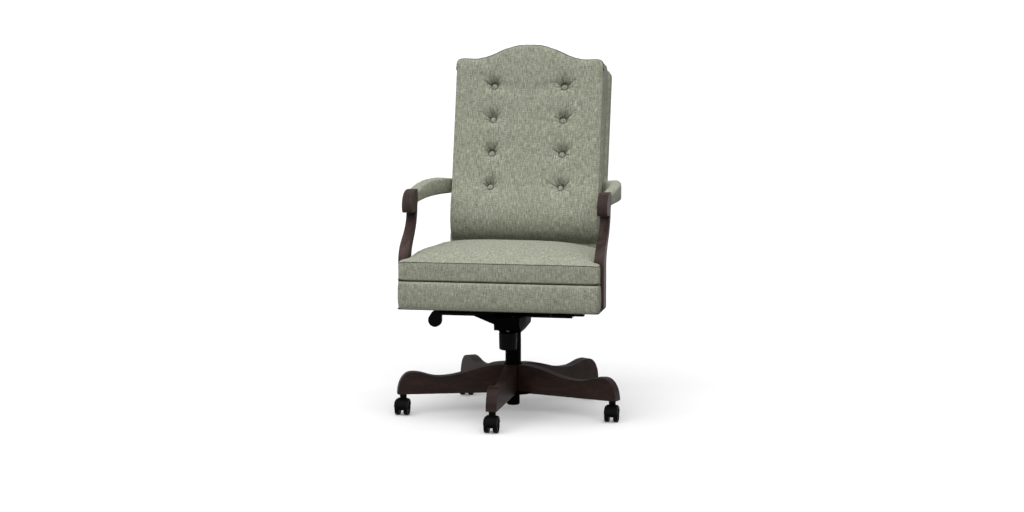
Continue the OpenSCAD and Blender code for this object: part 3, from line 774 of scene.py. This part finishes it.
def tuft_pleats(x, z):
    """The sharp folds that run out from each button, and faint creases across each row."""
    rng = random.Random(11)
    depth = np.zeros_like(x)
    for bx, bz in BUTTONS:
        dx, dz = x - bx, z - bz
        # (angle, length, strength): six strong folds above the button, six weak ones round
        # the rest of it, and on the right a long faint one
        angles = [rng.uniform(a, a + 14) for a in (26, 50, 74, 96, 120, 144)]
        folds = [(a, rng.uniform(0.034, 0.058), rng.uniform(0.8, 1.3)) for a in angles]
        folds += [(rng.uniform(a, a + 22), rng.uniform(0.026, 0.050), rng.uniform(0.4, 0.9))
                  for a in (-12, 168, 206, 244, 282, 320)]
        if bx > 0:
            folds.append((rng.uniform(26, 40), rng.uniform(0.070, 0.095), 0.45))
        for angle, length, strength in folds:
            a = math.radians(angle)
            along = dx * math.cos(a) + dz * math.sin(a)
            across = -dx * math.sin(a) + dz * math.cos(a)
            width = 0.0015 + 0.065 * np.clip(along, 0, 1)
            fade = smooth01((length - along) / length) * smooth01((along - 0.003) / 0.008)
            depth += 0.0072 * strength * fade * np.exp(-(across / width) ** 2)
    for row in range(TUFT_ROWS):
        level = TUFT_TOP - row * TUFT_STEP
        for _ in range(2):
            cx, cz = rng.uniform(-0.09, 0.09), level + rng.uniform(-0.012, 0.010)
            tilt, length = rng.uniform(-0.12, 0.12), rng.uniform(0.025, 0.055)
            along, across = x - cx, z - cz - tilt * (x - cx)
            depth += 0.0009 * np.exp(-(across / 0.006) ** 2 - (along / length) ** 2)
    return depth


def refine_near_buttons(obj, reach):
    """Splits the faces round each button, so that its folds can be sharp."""
    p = to_back(coords(obj))
    near = np.zeros(len(p), bool)
    for bx, bz in BUTTONS:
        near |= np.hypot(p[:, 0] - bx, p[:, 2] - bz) < reach
    near &= p[:, 1] < 0.036         # the front only
    bm = bmesh.new()
    bm.from_mesh(obj.data)
    bm.verts.ensure_lookup_table()
    edges = [e for e in bm.edges if near[e.verts[0].index] and near[e.verts[1].index]]
    bmesh.ops.subdivide_edges(bm, edges=edges, cuts=1, use_grid_fill=True)
    bm.to_mesh(obj.data)
    bm.free()


def flared(p):
    """Points of the back in the chair's frame, widened upwards and cut off at the seat box."""
    p[:, 0] *= 1 + FLARE * p[:, 2]
    world = from_back(p)
    world[:, 2] = np.maximum(world[:, 2], BOX_TOP + REST_GAP)
    return world


def make_tufted_back():
    outline = camel(BACK_W / 2 + 0.0015, 0.008, SHOULDER + 0.0015, CREST + 0.003)
    obj = prism("tufted_inner_back", outline, FRONT_D, INNER_T, in_the_back)
    remesh(obj, VOXEL)
    p = to_back(coords(obj))
    u = snapped(p[:, [0, 2]], outline)
    # Tight along the crest's seam, full and soft down the sides
    r = 0.005 + 0.010 * smooth01((SHOULDER - 0.012 - p[:, 2]) / 0.030)
    u, d = round_over(u, outline, p[:, 1], FRONT_D, r, 1)
    p = np.column_stack([u[:, 0], d, u[:, 1]])
    front = smooth01((0.030 - p[:, 1]) / 0.030)
    # The foot of the cushion rolls back under itself, like the side of a bolster
    drop = np.clip((ROLL_TOP - p[:, 2]) / ROLL_R, 0, 1)
    lumbar = ROLL_R * 0.95 * (1 - np.sqrt(1 - drop**2 * 0.985))
    swell = 0.006 * np.exp(-((p[:, 2] - 0.205) / 0.055) ** 2)
    p[:, 1] += lumbar * (1 - p[:, 1] / INNER_T)
    p[:, 1] += front * (tuft_dimples(p[:, 0], p[:, 2], 0.010, 0.020, 0.42) - swell)
    set_coords(obj, flared(p))
    # Held by the buttons, along the outer back and below the roll
    pins = np.zeros(len(p))
    for bx, bz in BUTTONS:
        near = np.hypot(p[:, 0] - bx, p[:, 2] - bz) < 0.011
        pins[near & (p[:, 1] < 0.040)] = 1.0
    pins[p[:, 1] > INNER_T - 0.004] = 1.0
    pins[p[:, 2] < 0.120] = 1.0
    inflate(obj, pins, pressure=3.0, cap=0.003, stiffness=30.0)
    subdivide(obj)
    refine_near_buttons(obj, 0.062)
    # The tight middle of each dimple and its pleats, too fine for the remesh
    p = to_back(coords(obj))
    front = smooth01((0.040 - p[:, 1]) / 0.020)
    p[:, 1] += front * tuft_dimples(p[:, 0], p[:, 2], 0.013, 0.011, 0.45)
    p[:, 1] += front * tuft_pleats(p[:, 0], p[:, 2])
    # Faint hollows here and there
    rng = np.random.default_rng(5)
    for _ in range(26):
        cx, cz, a = rng.uniform(-0.2, 0.2), rng.uniform(0.1, 0.65), rng.uniform(-0.5, 0.5)
        dx, dz = p[:, 0] - cx, p[:, 2] - cz
        along = dx * math.cos(a) + dz * math.sin(a)
        across = -dx * math.sin(a) + dz * math.cos(a)
        p[:, 1] += front * 0.0007 * np.exp(-(across / 0.010) ** 2 - (along / 0.045) ** 2)
    set_coords(obj, from_back(p))
    obj.data.materials.clear()
    obj.data.materials.append(LINEN)
    obj.data.shade_smooth()
    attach(obj, "seat")
    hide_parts("back_cushion")
    return obj


def make_buttons(back):
    """Fabric-covered buttons, drawn into their dimples."""
    tree = tree_of(back)
    verts, faces = [], []
    # (radius, depth), from under the rim to the middle of the face
    profile = [(0.0080, 0.0040), (BUTTON_R, 0.0018), (BUTTON_R, -0.0002), (0.0078, -0.0022),
               (0.0056, -0.0036), (0.0030, -0.0043), (0.0, -0.0045)]
    sides = BUTTON_SIDES
    inwards = Vector(from_back([[0, 1, 0]])[0] - from_back([[0, 0, 0]])[0])
    for bx, bz in BUTTONS:
        place, _, _, _ = tree.ray_cast(Vector(from_back([[bx, -0.05, bz]])[0]), inwards)
        level = to_back([place])[0][1] - BUTTON_PROUD
        base = len(verts)
        for r, d in profile[:-1]:
            for k in range(sides):
                a = 2 * math.pi * k / sides
                wrinkle = 1 + 0.012 * math.sin(9 * a + bz * 50)
                verts.append((bx + r * wrinkle * math.cos(a), level + d,
                              bz + r * wrinkle * math.sin(a)))
        verts.append((bx, level + profile[-1][1], bz))
        for ring in range(len(profile) - 2):
            for k in range(sides):
                l = (k + 1) % sides
                a, b = base + ring * sides, base + (ring + 1) * sides
                faces.append((a + k, a + l, b + l, b + k))
        last = base + (len(profile) - 2) * sides
        faces += [(last + k, last + (k + 1) % sides, len(verts) - 1) for k in range(sides)]
        faces.append([base + k for k in range(sides)][::-1])
    obj = new_object("tufting_buttons", from_back(verts), faces, LINEN)
    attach(obj, "seat")
    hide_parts("back_buttons")
    # Painted shade: a thin dark cord round each button stands in for the shadow in the crease where
    # the cover is gathered in under it
    around = np.linspace(0, 2 * math.pi, sides, endpoint=False)
    for k, (bx, bz) in enumerate(BUTTONS):
        circle = np.column_stack([bx + CREASE_R * np.cos(around), np.full(sides, 0.010),
                                  bz + CREASE_R * np.sin(around)])
        path = onto(tree, from_back(circle))
        crease = sweep(f"button_crease_shade_{k + 1}", path, 0.0009, CREASE_SHADE, sides=6)
        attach(crease, "seat")


def make_outer_back():
    shell_top = SHOULDER - SHELL_DROP
    outline = camel(SHELL_W / 2 + 0.0025, 0.020, shell_top + 0.001, CREST)
    rear = INNER_T + SHELL_T
    lap = INNER_T - 0.006           # the inner back sits in a shallow seat in the outer one
    obj = prism("outer_back", outline, lap, rear, in_the_back)
    remesh(obj, VOXEL)
    p = to_back(coords(obj))
    u = snapped(p[:, [0, 2]], outline)
    u, d = round_over(u, outline, p[:, 1], lap, 0.005, 1)
    u, d = round_over(u, outline, d, rear, 0.012, -1)
    p = np.column_stack([u[:, 0], d, u[:, 1]])
    # The rear panel is a little full in its middle
    depth, _ = outline_distance(u, outline)
    rear_face = smooth01((d - (rear - 0.010)) / 0.008)
    p[:, 1] += rear_face * (0.004 * smooth01(depth / 0.16) - 0.003)
    set_coords(obj, flared(p))
    subdivide(obj)
    obj.data.materials.append(LINEN)
    obj.data.shade_smooth()
    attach(obj, "seat")
    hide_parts("back_shell")
    # A welt round the rear panel
    inset = 0.013
    ring = resampled(camel(SHELL_W / 2 - inset, 0.030, shell_top - inset, CREST), 0.007)
    path = from_back(np.column_stack([ring[:, 0], np.full(len(ring), rear), ring[:, 1]]))
    seam = sweep("rear_panel_welt", onto(tree_of(obj), path), BACK_WELT_R, WELT)
    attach(seam, "seat")


def make_back_seam(back):
    """The seam along the front edge of the crest, which dies out past the corners."""
    ring = resampled(camel(BACK_W / 2 + 0.003, 0.06, SHOULDER + 0.003, CREST + 0.003), TRIM_STEP)
    ring = ring[ring[:, 1] > SHOULDER - 0.040]
    start = int(np.argmin(ring[:, 1] + (ring[:, 0] > 0)))       # its lowest point on the left
    ring = np.roll(ring, -start, axis=0)
    ring[:, 0] *= 1 + FLARE * ring[:, 1]
    path = from_back(np.column_stack([ring[:, 0], np.full(len(ring), -0.001), ring[:, 1]]))
    seam = sweep("back_front_seam", onto(tree_of(back), path), BACK_WELT_R, SEAM_SHADOW, closed=False)
    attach(seam, "seat")


# ---------------------------------------------------------------- arms

ARM_PATH = cubic((POST_X, PAD_START), (0.312, 0.040), (0.330, 0.190), (0.246, 0.300), 60)
PAD_TOP_Y = [PAD_START, 0.0, 0.06, 0.15, 0.22, 0.30]    # the pad's top, from its front end
PAD_TOP_Z = [ARM_TOP - 0.002, 0.720, 0.7245, 0.7295, 0.7300, 0.7205]
PAD_UNDER = 0.6735
PAD_SWELL = 0.003                           # left for the pressure to fill


def make_arm_pad(side):
    """An upholstered arm pad that bows outwards and runs into the side of the back."""
    path = ARM_PATH
    lead = np.vstack([path[1:] - path[:-1], path[-1:] - path[-2:-1]])
    lead /= np.linalg.norm(lead, axis=1)[:, None]
    # The cover runs on past the end of the rail, into the side of the outer back
    path = np.vstack([path, path[-1] + 0.006 * lead[-1]])
    lead = np.vstack([lead, lead[-1:]])
    out = np.stack([lead[:, 1], -lead[:, 0]], 1)
    out[0] = (1, 0)
    top = np.interp(path[:, 1], PAD_TOP_Y, PAD_TOP_Z)
    half, under = PAD_W / 2 - PAD_SWELL, PAD_UNDER
    rings = []
    for c, o, t in zip(path, out, top - PAD_SWELL):
        ring = rounded([(-half, under), (half, under), (half, t), (-half, t)], 0.006)
        rings.append(np.column_stack([np.outer(ring[:, 0], o) + c, ring[:, 1]]))
    n, m = len(rings[0]), len(rings)
    verts = np.vstack(rings)
    verts[:, 0] = np.maximum(verts[:, 0], SHELL_W / 2 + 0.0012)
    faces = [(a * n + i, a * n + (i + 1) % n, (a + 1) * n + (i + 1) % n, (a + 1) * n + i)
             for a in range(m - 1) for i in range(n)]
    faces += [range(n)[::-1], range((m - 1) * n, m * n)]
    verts[:, 0] *= side
    name = "arm_pad_cover_" + ("left" if side < 0 else "right")
    obj = outward(new_object(name, verts, faces))
    remesh(obj, ARM_VOXEL)
    # Held at the post, along the side of the back and underneath
    p = coords(obj)
    pins = ((p[:, 1] < PAD_START + 0.003) | (np.abs(p[:, 0]) < SHELL_W / 2 + 0.004)
            | (p[:, 2] < under + 0.003)).astype(float)
    inflate(obj, pins, pressure=4.0, cap=0.0035, frames=14)
    subdivide(obj)
    obj.data.materials.append(LINEN)
    obj.data.shade_smooth()
    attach(obj, "seat")
    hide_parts("arm_pad_" + ("left" if side < 0 else "right"))
    tree = tree_of(obj)
    for k, edge in enumerate((-1, 1)):
        run = np.column_stack([path + out * edge * PAD_W / 2, np.full(len(path), under + 0.002)])
        run = run[run[:, 0] > SHELL_W / 2 + 0.004]      # what shows beside the back
        run[:, 0] *= side
        seam = sweep(f"{name}_seam_{k}", onto(tree, run), 0.0010, SEAM_SHADOW, closed=False)
        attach(seam, "seat")


def scroll_line():
    """Front line of the arm's scroll in the side view, from under the curl to the top."""
    lower = cubic((-0.148, 0.647), (-0.158, 0.648), (-0.163, 0.655), (-0.163, 0.668), 10)
    upper = cubic((-0.163, 0.668), (-0.163, 0.695), (-0.140, ARM_TOP), (-0.092, ARM_TOP), 26)
    return np.vstack([lower, upper[1:], [(PAD_START + 0.001, ARM_TOP)]])


def make_reeds(side):
    """Three shallow reeds carved down the face of the scroll."""
    line = resampled(scroll_line(), 0.003, closed=False)
    lead = np.gradient(line, axis=0)
    lead /= np.linalg.norm(lead, axis=1)[:, None]
    out = np.stack([-lead[:, 1], lead[:, 0]], 1)
    half, reeds, across = 0.0135, 3, 37     # half their width, their number, points across
    x = np.linspace(-half, half, across)
    wave = np.abs(np.sin(reeds * math.pi * (x + half) / (2 * half))) ** 0.7
    verts = []
    for k, (c, o) in enumerate(zip(line, out)):
        t = k / (len(line) - 1)
        rise = 0.0013 * float(smooth01(t / 0.10) * smooth01((1 - t) / 0.18))
        for xi, w in zip(x, wave):
            y, z = c + o * (rise * w - 0.0002)
            verts.append((side * POST_X + xi, y, z))
    m = len(line)
    faces = [(a * across + i, a * across + i + 1, (a + 1) * across + i + 1, (a + 1) * across + i)
             for a in range(m - 1) for i in range(across - 1)]
    obj = new_object("scroll_reeds_" + ("left" if side < 0 else "right"), verts, faces, WOOD)
    solid = obj.modifiers.new("body", "SOLIDIFY")
    solid.thickness, solid.offset = 0.0012, -1
    evaluated(obj)
    obj.data.shade_smooth()
    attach(obj, "seat")


# ---------------------------------------------------------------- build

cushion = make_seat_cushion()
make_cushion_trim(cushion)
make_seat_box()
make_deck_flap()
back = make_tufted_back()
make_buttons(back)
make_outer_back()
make_back_seam(back)
for side in (-1, 1):
    make_arm_pad(side)
    make_reeds(side)

# ---------------------------------------------------------------- studio

STUDIO_R, STUDIO_H, STUDIO_SIDES = 40.0, 16.0, 96
SKY = [(0.0, 0.03), (0.46, 0.07), (0.56, 0.22), (0.72, 0.55), (1.0, 0.85)]  # nadir to zenith
SUN_POWER, SUN_ANGLE, SUN_LEAD = 2.1, math.radians(80), (0.02, 0.66, -0.75)
CAMERA_AT = (1.3564, -7.3399, 1.3864)
CAMERA_DOWN, CAMERA_TURN, CAMERA_LENS = math.radians(6.77), math.radians(10.50), 83.31

turn = np.linspace(0, 2 * math.pi, STUDIO_SIDES, endpoint=False)
rim = STUDIO_R * np.column_stack([np.cos(turn), np.sin(turn), 0 * turn])
floor = new_object("studio_floor", rim, [range(STUDIO_SIDES)],
                   studio_white("studio_floor", 0.13), smooth=False)
floor.visible_diffuse = False           # the fill from below comes from the world instead
# A white wall all round, which the light passes through
nexts = [(i + 1) % STUDIO_SIDES for i in range(STUDIO_SIDES)]
wall = [(i, j, STUDIO_SIDES + j, STUDIO_SIDES + i) for i, j in enumerate(nexts)]
backdrop = new_object("studio_backdrop", np.vstack([rim, rim + (0, 0, STUDIO_H)]), wall,
                      studio_white("studio_backdrop", 1.1), smooth=False)
backdrop.visible_diffuse = backdrop.visible_glossy = backdrop.visible_shadow = False

world = bpy.data.worlds.new("studio")
bpy.context.scene.world = world
world.use_nodes = True
tree = world.node_tree
background = tree.nodes["Background"]
direction = tree.nodes.new("ShaderNodeTexCoord")
split = tree.nodes.new("ShaderNodeSeparateXYZ")
height = tree.nodes.new("ShaderNodeMapRange")
colours = tree.nodes.new("ShaderNodeValToRGB")
tree.links.new(direction.outputs["Generated"], split.inputs[0])
tree.links.new(split.outputs["Z"], height.inputs["Value"])
height.inputs["From Min"].default_value, height.inputs["From Max"].default_value = -1, 1
tree.links.new(height.outputs[0], colours.inputs["Fac"])
tree.links.new(colours.outputs[0], background.inputs["Color"])
elements = colours.color_ramp.elements
while len(elements) < len(SKY):
    elements.new(0.5)
for e, (at, v) in zip(elements, SKY):
    e.position, e.color = at, (v, v, v, 1)

# One very broad light, high in front: its soft shadow falls under the chair
sun = bpy.data.lights.new("softbox", "SUN")
sun.energy, sun.angle = SUN_POWER, SUN_ANGLE
key = bpy.data.objects.new("softbox", sun)
bpy.context.scene.collection.objects.link(key)
key.rotation_mode = "QUATERNION"
key.rotation_quaternion = Vector(SUN_LEAD).to_track_quat("-Z", "Y")

camera = bpy.data.cameras.new("camera")
camera.sensor_width, camera.lens = 36, CAMERA_LENS
camera.clip_end = 1000
view = bpy.data.objects.new("camera", camera)
bpy.context.scene.collection.objects.link(view)
view.location = CAMERA_AT
view.rotation_euler = (math.radians(90) - CAMERA_DOWN, 0, CAMERA_TURN)
bpy.context.scene.camera = view
bpy.context.scene.view_settings.view_transform = "Standard"
